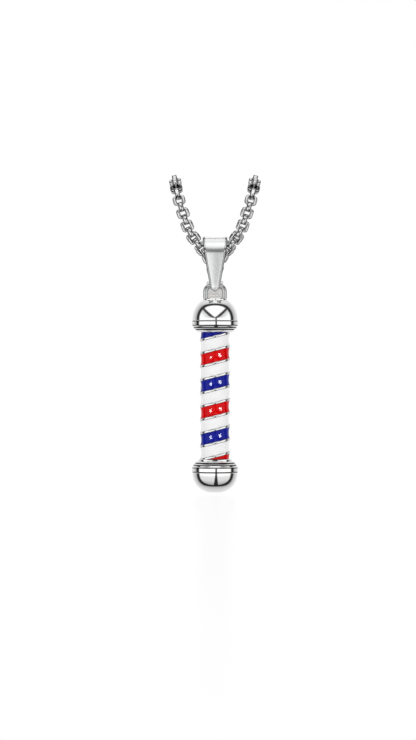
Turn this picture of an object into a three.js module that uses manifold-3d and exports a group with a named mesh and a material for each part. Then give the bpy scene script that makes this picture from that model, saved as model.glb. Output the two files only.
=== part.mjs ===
// A barber's-pole pendant hanging from a folded bail on a 3 mm round box chain.
// Millimetres, +Z up. The origin is the middle of the edge that the chain hangs over:
// the chain hangs down in front of it (-Y), and the stored rest of the chain behind it (+Y).
import * as THREE from "three";
import { mergeVertices } from "three/addons/utils/BufferGeometryUtils.js";
import Module from "manifold-3d";

const wasm = await Module();
wasm.setup();

// ---- Driving dimensions ----------------------------------------------------------------------
const FIT = 0.05; // clearance between two soldered or pressed faces
const CORD_GAP = 0.3; // clearance between two solids that stand for the chain

// Where things hang: the pendant's lowest face, and the planes in front of and behind the edge.
const PENDANT_BASE = -73.5;
const EDGE_BEND = 6;
const FRONT_Y = -EDGE_BEND;
const BACK_Y = EDGE_BEND;
const NECK_RIGHT_Y = BACK_Y + 3.2;

// Pole: a steel core with slanting ribs, and enamel in the channels between them.
const POLE_SIDES = 20;
const POLE_BOTTOM = 7.9;
const POLE_TOP = 38.4;
const RIB_COUNT = 10;
const RIB_PITCH = 3.187;
const RIB_TOP = 37.32;
const RIB_SLOPE = 0.25;
const RIB_HALF = 0.275;
const RIB_RADIUS = 3.67;
const CHANNEL_RADIUS = 2.8;
const ENAMEL_EDGE_RADIUS = 3.52;
const ENAMEL_WAIST_RADIUS = 3.33;
const ENAMEL_CORNER = 0.7;
const SPIGOT = 3;
const BAND_COLOURS = [
  "blue", "white", "red", "white", "blue", "white", "red", "white", "blue", "white", "red",
];

// Caps and the loop soldered on the upper one.
const CAP_SIDES = 24;
const CAP_RADIUS = 5.52;
const PAD_RADIUS = 2.95;
const PAD_TOP = 46.5;
const LOOP_WIRE = 1.2;
const LOOP_GAP = 0.02;
const LOOP_HALF = 2.25;
const LOOP_CROWN = 49.45;
const LOOP_CORNER = 1.3;

// Bail: one strip folded over the chain and closed round the loop's crown.
const BAIL_TUNNEL_Z = 57.8;
const BAIL_TUNNEL_RADIUS = 3;
const BAIL_ROOF = 0.5;
const BAIL_EYE_RADIUS = 0.68;
const BAIL_EYE_WALL = 0.67;
const BAIL_HALF_WIDTHS = [
  [48.1, 0.45], [48.35, 0.85], [48.8, 1.12], [50, 1.33], [57.4, 2.62], [60.3, 2.95], [61.35, 2.95],
];

// Chain: square-cornered band links, each turned a quarter from its neighbours.
const CHAIN = 3;
const LINK_WALL = 0.6;
const LINK_BAND = 0.95;
const LINK_CORNER = 1.2;
const LINK_PITCH = 1.6;
const LINKS_EACH_SIDE = 12;
const TUBE_SIDES = 8;

// Hank: two turns of each strand behind the pendant, in upright planes side by side.
const HANK_Y = 15;
const HANK_TOP = 32.3;
const HANK_BOTTOM = 17;
const HANK_OUTER = 13.5;
const HANK_INNER = 7.5;
const HANK_COLUMN = 1.58;
const HANK_HALF = 1.47;
const HANK_WINDOW_TOP = HANK_TOP - 1;
const END_Y = 12;

// Clasp: a lobster claw, hanging from the left strand's end inside the hank.
const CLASP_THICK = 2.4;
const CLASP_SLOT = 1.2;
const CLASP_EYE_Z = 26.6;
const CLAW = { outerY: 2.9, outerZ: 4.1, innerY: 1.5, innerZ: 2.6 };
const CLAW_DROP = 5.1;
const LEVER_PIVOT = { y: -1.15, z: 2.75 };
const PIN_RADIUS = 0.35;
// The lever's tip is an arc about its pin, and the claw's tip an arc a little outside it.
const LEVER_REACH = 4.75;
const LEVER_GAP = 0.1;
const LEVER_SECTOR = [112, 230];
const BODY_SECTOR = [-152, 132];
const SLOT_SECTOR = [94, 140];
const EYE_OUTER = 1.45;
const EYE_HOLE = 0.7;
const EYE_THICK = 1.6;
const CLAW_NECK = { half: 0.75, low: 3.2, high: 4.2 };
const RING_WIRE = 0.55;
const RING_RADIUS = 1.3;
const END_LENGTH = 1.4;

// Ties: a band round both strands at the neck, and one round the hank.
const NECK_TIE = { heights: [46.5, 51], thick: 0.35, gap: 0.1 };
const HANK_TIE = { heights: [22.5, 25.5], thick: 0.25, half: 3.1 };

// The chain's right-hand route on one side of the middle: x outwards, y, and height above the
// pendant's base. The left-hand route mirrors x, and keeps its own y behind the edge.
const FRONT_ROUTE = [
  [0, 57], [1.57, 57.27], [2.9, 58.05], [3.85, 59.25], [4.75, 60.55], [5.6, 61.85],
  [6.35, 63.1], [7.25, 65.8],
];
const EDGE_ROUTE = [
  [8.33, 0], [9.0, 25], [9.45, 55], [9.6, 90], [9.45, 125], [9.0, 155], [8.33, 180],
];
const BACK_ROUTE = [
  [7.3, 66, 0], [6.3, 63.2, 0.1], [5.4, 61.7, 0.2], [4.4, 60.4, 0.35], [3.3, 59.1, 0.5],
  [2.2, 57.7, 0.65], [1.3, 56, 0.8], [0.65, 54.2, 0.9], [0.2, 52.4, 0.97], [0, 50.6, 1],
  [0, 48.5, 1],
];

// ---- Colours ----------------------------------------------------------------------------------
const STEEL = { color: 0xc8cacc, metalness: 1, roughness: 0.12 };
const SATIN = { color: 0xb9bbbd, metalness: 1, roughness: 0.35 };
const ENAMEL = {
  red: { color: 0xd80018, metalness: 0, roughness: 0.1 },
  white: { color: 0xf2f2f2, metalness: 0, roughness: 0.12 },
  blue: { color: 0x1b2288, metalness: 0, roughness: 0.1 },
};
const THREAD = { color: 0xf4f2ee, metalness: 0, roughness: 0.8 };

// ---- Helpers ----------------------------------------------------------------------------------
function piece(name, geometry, look) {
  const mesh = new THREE.Mesh(geometry, new THREE.MeshStandardMaterial(look));
  mesh.name = name;
  return mesh;
}

function solid(geometry) {
  const bare = geometry.index ? geometry.toNonIndexed() : geometry.clone();
  bare.deleteAttribute("normal");
  bare.deleteAttribute("uv");
  const merged = mergeVertices(bare, 1e-4);
  return new wasm.Manifold(
    new wasm.Mesh({
      numProp: 3,
      vertProperties: merged.attributes.position.array,
      triVerts: new Uint32Array(merged.index.array),
    }),
  );
}

function surface(manifold) {
  const mesh = manifold.getMesh();
  const geometry = new THREE.BufferGeometry();
  geometry.setAttribute("position", new THREE.BufferAttribute(mesh.vertProperties, 3));
  geometry.setIndex(new THREE.BufferAttribute(mesh.triVerts, 1));
  return geometry;
}

// A profile of [radius, height] points turned about Z.
function turned(profile, sides) {
  const points = profile.map(([r, z]) => new THREE.Vector2(r, z));
  return new THREE.LatheGeometry(points, sides).rotateX(Math.PI / 2);
}

function cylinder(radius, bottom, top, sides) {
  return turned([[0, bottom], [radius, bottom], [radius, top], [0, top]], sides);
}

// A ring turned about Z and then slanted, so that it rises to the right as it goes round.
function slanted(profile) {
  const geometry = turned([...profile, profile[0]], POLE_SIDES);
  const shear = new THREE.Matrix4().set(1, 0, 0, 0, 0, 1, 0, 0, RIB_SLOPE, 0, 1, 0, 0, 0, 0, 1);
  return geometry.applyMatrix4(shear);
}

// An outline in the Y-Z plane given thickness along X, centred on x.
function plate(shape, thick, x = 0) {
  const geometry = new THREE.ExtrudeGeometry(shape, {
    depth: thick, bevelEnabled: false, curveSegments: 8,
  });
  const axes = new THREE.Matrix4().makeBasis(
    new THREE.Vector3(0, 1, 0), new THREE.Vector3(0, 0, 1), new THREE.Vector3(1, 0, 0),
  );
  return geometry.applyMatrix4(axes).translate(x - thick / 2, 0, 0);
}

function circle(y, z, radius) {
  return new THREE.Path().absarc(y, z, radius, 0, 2 * Math.PI, false);
}

// A round tube along a curve, with flat closed ends.
function tube(curve, radius, sides, steps) {
  const section = new THREE.Shape();
  for (let i = 0; i < sides; i++) {
    const turn = (2 * Math.PI * (i + 0.5)) / sides;
    const [u, v] = [radius * Math.cos(turn), radius * Math.sin(turn)];
    if (i) section.lineTo(u, v);
    else section.moveTo(u, v);
  }
  return new THREE.ExtrudeGeometry(section, { extrudePath: curve, steps });
}

// ---- Pole -------------------------------------------------------------------------------------
const ribHeight = (k) => RIB_TOP - RIB_PITCH * k;

function poleCore() {
  const profile = [[0, ribHeight(RIB_COUNT)]];
  for (let k = RIB_COUNT - 1; k >= 0; k--) {
    const z = ribHeight(k);
    profile.push([CHANNEL_RADIUS, z - RIB_HALF], [RIB_RADIUS - 0.1, z - RIB_HALF]);
    profile.push([RIB_RADIUS, z]);
    profile.push([RIB_RADIUS - 0.1, z + RIB_HALF], [CHANNEL_RADIUS, z + RIB_HALF]);
  }
  profile.push([0, ribHeight(-1)]);
  const between = cylinder(RIB_RADIUS + 1, POLE_BOTTOM + FIT, POLE_TOP - FIT, POLE_SIDES);
  const rod = cylinder(CHANNEL_RADIUS, POLE_BOTTOM - SPIGOT, POLE_TOP + SPIGOT, POLE_SIDES);
  const ribbed = solid(slanted(profile)).intersect(solid(between));
  return piece("pole_core", surface(ribbed.add(solid(rod))), STEEL);
}

function enamelBand(k) {
  const low = k < RIB_COUNT ? ribHeight(k) + RIB_HALF + FIT / 2 : POLE_BOTTOM - SPIGOT;
  const high = k > 0 ? ribHeight(k - 1) - RIB_HALF - FIT / 2 : POLE_TOP + SPIGOT;
  const inside = CHANNEL_RADIUS + FIT;
  const ring = slanted([
    [inside, low],
    [ENAMEL_EDGE_RADIUS, low],
    [ENAMEL_WAIST_RADIUS, low + ENAMEL_CORNER],
    [ENAMEL_WAIST_RADIUS, high - ENAMEL_CORNER],
    [ENAMEL_EDGE_RADIUS, high],
    [inside, high],
  ]);
  const between = cylinder(RIB_RADIUS + 1, POLE_BOTTOM + FIT, POLE_TOP - FIT, POLE_SIDES);
  const colour = BAND_COLOURS[k];
  const name = `enamel_band_${String(k + 1).padStart(2, "0")}_${colour}`;
  return piece(name, surface(solid(ring).intersect(solid(between))), ENAMEL[colour]);
}

// ---- Caps and loop ----------------------------------------------------------------------------
function topCap() {
  const boreRadius = CHANNEL_RADIUS + FIT;
  const profile = [
    [0, POLE_TOP + SPIGOT + FIT], [boreRadius, POLE_TOP + SPIGOT + FIT], [boreRadius, POLE_TOP],
    [4.1, POLE_TOP], [5.35, 39.6], [CAP_RADIUS, 39.9], [CAP_RADIUS, 41.2], [5.4, 41.5],
    [5.32, 42.4], [5.05, 43.4], [4.6, 44.4], [3.95, 45.3], [3.2, 45.95], [PAD_RADIUS, 46.1],
    [PAD_RADIUS, PAD_TOP], [0, PAD_TOP],
  ];
  return piece("top_cap", turned(profile, CAP_SIDES), STEEL);
}

function bottomCap() {
  const boreRadius = CHANNEL_RADIUS + FIT;
  const floor = POLE_BOTTOM - SPIGOT - FIT;
  const profile = [
    [0, 0], [2.1, 0], [2.9, 0.45], [3.7, 1.0], [4.2, 1.45], [4.8, 2.4], [5.2, 4.1],
    [5.4, 4.5], [CAP_RADIUS, 4.8], [CAP_RADIUS, 6.0], [5.3, 6.5], [5.04, 7.0], [4.45, 7.4],
    [4.0, POLE_BOTTOM], [boreRadius, POLE_BOTTOM], [boreRadius, floor], [0, floor],
  ];
  return piece("bottom_cap", turned(profile, CAP_SIDES), STEEL);
}

function hangingLoop() {
  const legTop = LOOP_CROWN - LOOP_CORNER;
  const flat = LOOP_HALF - LOOP_CORNER;
  const points = [[-LOOP_HALF, PAD_TOP + LOOP_GAP], [-LOOP_HALF, (PAD_TOP + legTop) / 2]];
  for (let i = 0; i <= 4; i++) {
    const turn = Math.PI - (i * Math.PI) / 8;
    points.push([-flat + LOOP_CORNER * Math.cos(turn), legTop + LOOP_CORNER * Math.sin(turn)]);
  }
  const half = points.map(([x, z]) => new THREE.Vector3(x, 0, z));
  const other = half.map((p) => new THREE.Vector3(-p.x, 0, p.z)).reverse();
  const bent = new THREE.CatmullRomCurve3([...half, ...other], false, "centripetal");
  return piece("hanging_loop", tube(bent, LOOP_WIRE / 2, 10, 22), STEEL);
}

// ---- Bail -------------------------------------------------------------------------------------
// The strip seen from the side: a round roof over the chain, leaves running down to the eye.
function bailOutline(path, roofRadius, eyeRadius) {
  path.moveTo(roofRadius, BAIL_TUNNEL_Z);
  path.absarc(0, BAIL_TUNNEL_Z, roofRadius, 0, Math.PI, false);
  path.lineTo(-eyeRadius, LOOP_CROWN);
  path.absarc(0, LOOP_CROWN, eyeRadius, Math.PI, 2 * Math.PI, false);
  path.lineTo(roofRadius, BAIL_TUNNEL_Z);
  return path;
}

function bail() {
  const side = bailOutline(
    new THREE.Shape(), BAIL_TUNNEL_RADIUS + BAIL_ROOF, BAIL_EYE_RADIUS + BAIL_EYE_WALL,
  );
  side.holes.push(bailOutline(new THREE.Path(), BAIL_TUNNEL_RADIUS, BAIL_EYE_RADIUS));
  const outline = BAIL_HALF_WIDTHS.map(([z, half]) => new THREE.Vector2(half, z));
  const mirrored = BAIL_HALF_WIDTHS.map(([z, half]) => new THREE.Vector2(-half, z)).reverse();
  const depth = 2 * (BAIL_TUNNEL_RADIUS + BAIL_ROOF) + 1;
  const taper = new THREE.Shape([...outline, ...mirrored]);
  const cutter = new THREE.ExtrudeGeometry(taper, { depth, bevelEnabled: false });
  cutter.rotateX(Math.PI / 2).translate(0, depth / 2, 0);
  return piece("bail", surface(solid(plate(side, 8)).intersect(solid(cutter))), SATIN);
}

// ---- Chain ------------------------------------------------------------------------------------
const front = ([x, z]) => new THREE.Vector3(x, FRONT_Y, PENDANT_BASE + z);

function overEdge([x, degrees]) {
  const turn = THREE.MathUtils.degToRad(degrees);
  const drop = CHAIN / 2 - EDGE_BEND;
  return new THREE.Vector3(x, -EDGE_BEND * Math.cos(turn), drop + EDGE_BEND * Math.sin(turn));
}

const behind = (side) => ([x, z, share]) => {
  const y = BACK_Y + (side > 0 ? share * (NECK_RIGHT_Y - BACK_Y) : 0);
  return new THREE.Vector3(x, y, PENDANT_BASE + z);
};

// One side's route from the middle of the bail, over the edge, to the top of the hank.
function route(side) {
  const points = [
    ...FRONT_ROUTE.map(front), ...EDGE_ROUTE.map(overEdge), ...BACK_ROUTE.map(behind(side)),
  ];
  const last = points[points.length - 1].clone();
  last.z = PENDANT_BASE + hankTopAt(last.y) + CORD_GAP;
  points.push(last);
  points.forEach((p) => (p.x *= side));
  return points;
}

// The height of the hank's round top under a strand that comes down at y.
function hankTopAt(y) {
  const nearest = Math.min(Math.abs(y + CHAIN / 2 - HANK_Y), HANK_OUTER);
  return HANK_TOP + Math.sqrt(HANK_OUTER ** 2 - nearest ** 2);
}

function linkGeometry() {
  const rounded = (path, half, corner) => {
    const flat = half - corner;
    path.moveTo(half, -flat);
    path.absarc(flat, flat, corner, 0, Math.PI / 2, false);
    path.absarc(-flat, flat, corner, Math.PI / 2, Math.PI, false);
    path.absarc(-flat, -flat, corner, Math.PI, 1.5 * Math.PI, false);
    path.absarc(flat, -flat, corner, 1.5 * Math.PI, 2 * Math.PI, false);
    return path;
  };
  const shape = rounded(new THREE.Shape(), CHAIN / 2, LINK_CORNER);
  shape.holes.push(rounded(new THREE.Path(), CHAIN / 2 - LINK_WALL, LINK_CORNER - LINK_WALL));
  const settings = { depth: LINK_BAND, bevelEnabled: false, curveSegments: 1 };
  return new THREE.ExtrudeGeometry(shape, settings).translate(0, 0, -LINK_BAND / 2);
}

// Links hang nose to tail along the route: even ones face the front, odd ones the side.
function chainLinks() {
  const right = new THREE.CatmullRomCurve3(route(1), false, "centripetal");
  const total = right.getLength();
  const links = [];
  for (let k = -LINKS_EACH_SIDE; k <= LINKS_EACH_SIDE; k++) {
    const share = (Math.abs(k) * LINK_PITCH) / total;
    const at = right.getPointAt(share);
    const along = k ? right.getTangentAt(share) : new THREE.Vector3(1, 0, 0);
    const side = k < 0 ? -1 : 1;
    const placed = new THREE.Vector3(at.x * side, at.y, at.z);
    const run = new THREE.Vector3(along.x * side, along.y, along.z).normalize();
    const across = new THREE.Vector3(0, 1, 0).cross(run).normalize();
    const depth = run.clone().cross(across);
    const facing = k % 2 === 0;
    const basis = facing ? [run, across, depth] : [run, depth.clone().negate(), across];
    const link = piece(`chain_link_${String(k + LINKS_EACH_SIDE + 1).padStart(2, "0")}`,
      linkGeometry(), STEEL);
    link.applyMatrix4(new THREE.Matrix4().makeBasis(...basis).setPosition(placed));
    links.push(link);
  }
  return links;
}

// The stretch of a strand from the last modelled link to the top of the hank.
function strand(name, side) {
  const whole = new THREE.CatmullRomCurve3(route(side), false, "centripetal");
  const total = whole.getLength();
  const start = (LINKS_EACH_SIDE * LINK_PITCH + CHAIN / 2 + CORD_GAP) / total;
  const count = 18;
  const points = [];
  for (let i = 0; i <= count; i++) {
    points.push(whole.getPointAt(start + ((1 - start) * i) / count));
  }
  const curve = new THREE.CatmullRomCurve3(points, false, "centripetal");
  return piece(name, tube(curve, CHAIN / 2, TUBE_SIDES, 24), STEEL);
}

function hank(name, side) {
  const outline = new THREE.Shape();
  outline.moveTo(HANK_Y + HANK_OUTER, HANK_BOTTOM);
  outline.absarc(HANK_Y, HANK_TOP, HANK_OUTER, 0, Math.PI, false);
  outline.absarc(HANK_Y, HANK_BOTTOM, HANK_OUTER, Math.PI, 2 * Math.PI, false);
  const window = new THREE.Path();
  window.moveTo(HANK_Y + HANK_INNER, HANK_WINDOW_TOP);
  window.lineTo(HANK_Y - HANK_INNER, HANK_WINDOW_TOP);
  window.absarc(HANK_Y, HANK_BOTTOM, HANK_INNER, Math.PI, 2 * Math.PI, false);
  outline.holes.push(window);
  return piece(name, plate(outline, 2 * HANK_HALF, side * HANK_COLUMN), STEEL);
}

// The right strand's last stretch, which hangs into the hank's window.
function rightEnd() {
  const top = HANK_WINDOW_TOP - CORD_GAP;
  const solidEnd = new THREE.CylinderGeometry(CHAIN / 2, CHAIN / 2, END_LENGTH, TUBE_SIDES);
  solidEnd.rotateX(Math.PI / 2).translate(HANK_COLUMN, END_Y, top - END_LENGTH / 2);
  return piece("chain_end_right", solidEnd, STEEL);
}

function leftEnd() {
  const end = rightEnd();
  end.name = "chain_end_left";
  end.geometry.translate(-2 * HANK_COLUMN, 0, 0);
  return end;
}

function ring(name, x, z) {
  const geometry = new THREE.TorusGeometry(RING_RADIUS, RING_WIRE / 2, 6, 14);
  geometry.rotateX(Math.PI / 2).translate(x, END_Y, z);
  return piece(name, geometry, STEEL);
}

// ---- Ties -------------------------------------------------------------------------------------
// A flat band round a rectangle in plan.
function band(name, [xHalf, yLow, yHigh], thick, [low, high]) {
  const box = (path, grow) => {
    path.moveTo(-xHalf - grow, yLow - grow);
    path.lineTo(xHalf + grow, yLow - grow);
    path.lineTo(xHalf + grow, yHigh + grow);
    path.lineTo(-xHalf - grow, yHigh + grow);
    path.closePath();
    return path;
  };
  const shape = box(new THREE.Shape(), thick);
  shape.holes.push(box(new THREE.Path(), 0));
  const settings = { depth: high - low, bevelEnabled: false };
  return piece(name, new THREE.ExtrudeGeometry(shape, settings).translate(0, 0, low), THREAD);
}

// ---- Clasp ------------------------------------------------------------------------------------
// Part of the claw's oval, from one angle to another, in degrees from +Y towards +Z, with
// grow adding to its width on both sides.
function clawSector(from, to, grow = 0) {
  const steps = 12;
  const points = [];
  const at = (i, y, z) => {
    const angle = THREE.MathUtils.degToRad(from + ((to - from) * i) / steps);
    return new THREE.Vector2(y * Math.cos(angle), z * Math.sin(angle));
  };
  for (let i = 0; i <= steps; i++) points.push(at(i, CLAW.outerY + grow, CLAW.outerZ + grow));
  for (let i = steps; i >= 0; i--) points.push(at(i, CLAW.innerY - grow, CLAW.innerZ - grow));
  return new THREE.Shape(points);
}

const WIDER_THAN_ALL = 8;

const pinHole = (radius) => {
  const hole = new THREE.Shape(circle(LEVER_PIVOT.y, LEVER_PIVOT.z, radius).getPoints(6));
  return solid(plate(hole, WIDER_THAN_ALL));
};

// The space the lever's tip swings through, from the pin out to a radius, below the claw's middle.
function tipSwing(radius, inside, [from, to]) {
  const steps = 24;
  const points = [];
  const at = (i, reach) => {
    const angle = THREE.MathUtils.degToRad(from + ((to - from) * i) / steps);
    const y = LEVER_PIVOT.y + reach * Math.cos(angle);
    return new THREE.Vector2(y, LEVER_PIVOT.z + reach * Math.sin(angle));
  };
  for (let i = 0; i <= steps; i++) points.push(at(i, radius));
  for (let i = steps; i >= 0; i--) points.push(at(i, inside));
  return solid(plate(new THREE.Shape(points), WIDER_THAN_ALL));
}

function claspBody() {
  const eye = new THREE.Shape(circle(0, CLAW_DROP, EYE_OUTER).getPoints(10));
  eye.holes.push(circle(0, CLAW_DROP, EYE_HOLE));
  const neck = new THREE.Shape([
    new THREE.Vector2(-CLAW_NECK.half, CLAW_NECK.low), new THREE.Vector2(CLAW_NECK.half, CLAW_NECK.low),
    new THREE.Vector2(CLAW_NECK.half, CLAW_NECK.high), new THREE.Vector2(-CLAW_NECK.half, CLAW_NECK.high),
  ]);
  const claw = solid(plate(clawSector(...BODY_SECTOR), CLASP_THICK));
  const slot = solid(plate(clawSector(...SLOT_SECTOR, 0.5), CLASP_SLOT));
  const swing = tipSwing(LEVER_REACH + LEVER_GAP, LEVER_REACH - 1.2, [240, 300]);
  const made = claw
    .add(solid(plate(neck, EYE_THICK)))
    .add(solid(plate(eye, EYE_THICK)))
    .subtract(slot)
    .subtract(swing)
    .subtract(pinHole(PIN_RADIUS + FIT));
  return piece("clasp_body", surface(made), STEEL);
}

function claspLever() {
  const gate = solid(plate(clawSector(...LEVER_SECTOR), CLASP_SLOT - 0.2));
  const beyond = tipSwing(LEVER_REACH + 3, LEVER_REACH, [225, 315]);
  const made = gate.subtract(beyond).subtract(pinHole(PIN_RADIUS + FIT));
  return piece("clasp_lever", surface(made), STEEL);
}

function claspPin() {
  const pin = new THREE.CylinderGeometry(PIN_RADIUS, PIN_RADIUS, CLASP_THICK, 12);
  pin.rotateZ(Math.PI / 2).translate(0, LEVER_PIVOT.y, LEVER_PIVOT.z);
  return piece("clasp_pin", pin, STEEL);
}

// ---- Assembly ---------------------------------------------------------------------------------
function pendant() {
  const group = new THREE.Group();
  group.add(poleCore());
  for (let k = 0; k <= RIB_COUNT; k++) group.add(enamelBand(k));
  group.add(topCap(), bottomCap(), hangingLoop(), bail());
  group.position.set(0, FRONT_Y, PENDANT_BASE);
  return group;
}

function clasp() {
  const group = new THREE.Group();
  group.add(claspBody(), claspLever(), claspPin());
  group.position.set(-HANK_COLUMN, END_Y, CLASP_EYE_Z - CLAW_DROP);
  return group;
}

function storedChain() {
  const group = new THREE.Group();
  const neckX = CHAIN / 2 + NECK_TIE.gap;
  const endRingZ = HANK_WINDOW_TOP - END_LENGTH - 2 * CORD_GAP - RING_RADIUS - RING_WIRE / 2;
  group.add(hank("chain_hank_left", -1), hank("chain_hank_right", 1));
  group.add(leftEnd(), rightEnd());
  group.add(ring("clasp_ring", -HANK_COLUMN, CLASP_EYE_Z + RING_RADIUS));
  group.add(ring("end_ring", HANK_COLUMN, endRingZ));
  group.add(clasp());
  const neckY = [BACK_Y - neckX, NECK_RIGHT_Y + neckX];
  const hankY = [HANK_Y - HANK_OUTER - FIT, HANK_Y + HANK_OUTER + FIT];
  group.add(band("neck_tie", [neckX, ...neckY], NECK_TIE.thick, NECK_TIE.heights));
  group.add(band("hank_tie", [HANK_TIE.half, ...hankY], HANK_TIE.thick, HANK_TIE.heights));
  group.position.z = PENDANT_BASE;
  return group;
}

const necklace = new THREE.Group();
necklace.add(pendant(), ...chainLinks(), strand("chain_strand_left", -1));
necklace.add(strand("chain_strand_right", 1), storedChain());

export default necklace;
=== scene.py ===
"""The barber-pole pendant necklace's looks: fine meshes, materials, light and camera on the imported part."""

import math

import bmesh
import bpy
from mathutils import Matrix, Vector


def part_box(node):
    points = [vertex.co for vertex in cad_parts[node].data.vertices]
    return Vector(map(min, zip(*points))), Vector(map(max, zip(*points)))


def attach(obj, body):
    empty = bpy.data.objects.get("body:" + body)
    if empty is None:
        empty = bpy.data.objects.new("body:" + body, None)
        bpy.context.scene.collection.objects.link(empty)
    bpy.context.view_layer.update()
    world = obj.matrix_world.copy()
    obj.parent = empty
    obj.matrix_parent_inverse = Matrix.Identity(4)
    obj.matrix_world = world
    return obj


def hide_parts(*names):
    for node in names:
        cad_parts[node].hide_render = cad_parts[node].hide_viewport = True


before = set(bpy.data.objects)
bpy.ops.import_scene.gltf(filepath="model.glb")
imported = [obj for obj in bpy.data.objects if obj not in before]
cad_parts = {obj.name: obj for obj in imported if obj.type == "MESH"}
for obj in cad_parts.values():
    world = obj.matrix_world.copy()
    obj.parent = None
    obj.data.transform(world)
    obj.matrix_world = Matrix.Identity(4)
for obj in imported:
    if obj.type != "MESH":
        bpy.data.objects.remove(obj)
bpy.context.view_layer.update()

MM = 0.001

# ---- Driving dimensions, in millimetres; heights are above the pendant's lowest point --------
BASE_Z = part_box("bottom_cap")[0].z / MM
PENDANT_Y = (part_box("bottom_cap")[0].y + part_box("bottom_cap")[1].y) / 2 / MM
BACK_Y = -PENDANT_Y
EDGE_BEND = BACK_Y
FIT = 0.05

POLE_LOW, POLE_HIGH = 7.9, 38.4
RIB_COUNT, RIB_PITCH, RIB_TOP = 10, 3.187, 37.32
RIB_SLOPE, RIB_HALF, RIB_RADIUS = 0.25, 0.275, 3.67
CHANNEL_RADIUS, ENAMEL_EDGE, ENAMEL_WAIST = 2.8, 3.52, 3.33
BANDS = ["blue", "white", "red", "white", "blue", "white", "red", "white", "blue", "white", "red"]

LOOP_RADIUS, LOOP_HALF, LOOP_CROWN, LOOP_CORNER, PAD_TOP = 0.6, 2.25, 49.45, 1.3, 46.5

TUNNEL_Z, TUNNEL_RADIUS, BEND_Z = 57.8, 3.0, 57.75
EYE_RADIUS, EYE_WALL = 0.68, 0.67
BAIL_EDGE, BAIL_CHAMFER, SATIN_LAP = 0.17, 0.5, 0.04
# Height, and half the strip's width there.
BAIL_WIDTHS = [
    (48.1, 0.45), (48.35, 0.85), (48.8, 1.12), (50, 1.33), (57.4, 2.62), (60.3, 2.95), (61.4, 2.95),
]

CHAIN, LINK_PITCH, LINK_LEAD, FINE_POINTS = 3.0, 1.6, 0.28, 4001
LINK_LENGTH, LINK_END_WALL, LINK_SIDE_WALL, LINK_BAND, LINK_CORNER = 2.3, 0.35, 0.86, 1.2, 0.5
CORNER_STEPS, SECTION_SIDES, SECTION_ROUNDNESS = 6, 16, 0.6
RING_RADIUS, RING_WIRE_RADIUS = 1.3, 0.275

HANK_Y, HANK_HIGH, HANK_LOW, HANK_COLUMN = 15.0, 32.3, 17.0, 1.58
# The height of each strand's end; -1 is the left strand and 1 the right one.
STRAND_END = {-1: 29.7, 1: 29.5}

# How many sides a turned piece has, and how many steps each bend, the bail's roof and its eye have.
SIDES, BEND_STEPS, ROOF_STEPS, EYE_STEPS = 96, 12, 24, 12


def place(x, y, height):
    """A point given by x, y and height above the pendant's base, in millimetres, as a Vector in metres."""
    return Vector((x * MM, y * MM, (height + BASE_Z) * MM))


# ---- Mesh helpers ----------------------------------------------------------------------------
def make_object(name, verts, faces, material, sharp=35, second=None):
    """A mesh object. second is another material and a list that holds 1 for each face that has it."""
    mesh = bpy.data.meshes.new(name)
    mesh.from_pydata([tuple(v) for v in verts], [], faces)
    if second is None:
        return dress(name, mesh, [material], sharp)
    mesh.polygons.foreach_set("material_index", second[1])
    return dress(name, mesh, [material, second[0]], sharp)


def dress(name, mesh, materials, sharp=35):
    """An object of a mesh with its doubles merged, its faces turned out and its sharp edges marked."""
    obj = bpy.data.objects.new(name, mesh)
    bpy.context.scene.collection.objects.link(obj)
    tidy = bmesh.new()
    tidy.from_mesh(mesh)
    bmesh.ops.remove_doubles(tidy, verts=tidy.verts, dist=1e-7)
    bmesh.ops.recalc_face_normals(tidy, faces=tidy.faces)
    tidy.to_mesh(mesh)
    tidy.free()
    mesh.shade_smooth()
    mesh.set_sharp_from_angle(angle=math.radians(sharp))
    for material in materials:
        mesh.materials.append(material)
    return obj


def lathe(profile, sides=SIDES, slope=0.0, closed=False):
    """Vertices and faces of [radius, height] points turned about the pendant's axis, then slanted."""
    verts, faces = [], []
    count = len(profile)
    for i in range(sides):
        turn = 2 * math.pi * i / sides
        c, s = math.cos(turn), math.sin(turn)
        for r, z in profile:
            verts.append(place(r * c, PENDANT_Y + r * s, z + slope * r * c))
    last = count if closed else count - 1
    for i in range(sides):
        a, b = i * count, (i + 1) % sides * count
        for j in range(last):
            k = (j + 1) % count
            faces.append((a + j, b + j, b + k, a + k))
    return verts, faces


def smooth_line(points, steps=6):
    """Points on a centripetal Catmull-Rom curve through the given Vectors, with the share of each span."""
    padded = [points[0] * 2 - points[1], *points, points[-1] * 2 - points[-2]]
    line = []
    for i in range(1, len(padded) - 2):
        p0, p1, p2, p3 = padded[i - 1 : i + 3]
        t1 = max((p1 - p0).length, 1e-9) ** 0.5
        t2 = t1 + max((p2 - p1).length, 1e-9) ** 0.5
        t3 = t2 + max((p3 - p2).length, 1e-9) ** 0.5
        for step in range(steps):
            t = t1 + (t2 - t1) * step / steps
            a1 = p0 * ((t1 - t) / t1) + p1 * (t / t1)
            a2 = p1 * ((t2 - t) / (t2 - t1)) + p2 * ((t - t1) / (t2 - t1))
            a3 = p2 * ((t3 - t) / (t3 - t2)) + p3 * ((t - t2) / (t3 - t2))
            b1 = a1 * ((t2 - t) / t2) + a2 * (t / t2)
            b2 = a2 * ((t3 - t) / (t3 - t1)) + a3 * ((t - t1) / (t3 - t1))
            line.append(b1 * ((t2 - t) / (t2 - t1)) + b2 * ((t - t1) / (t2 - t1)))
    line.append(points[-1].copy())
    return line


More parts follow.
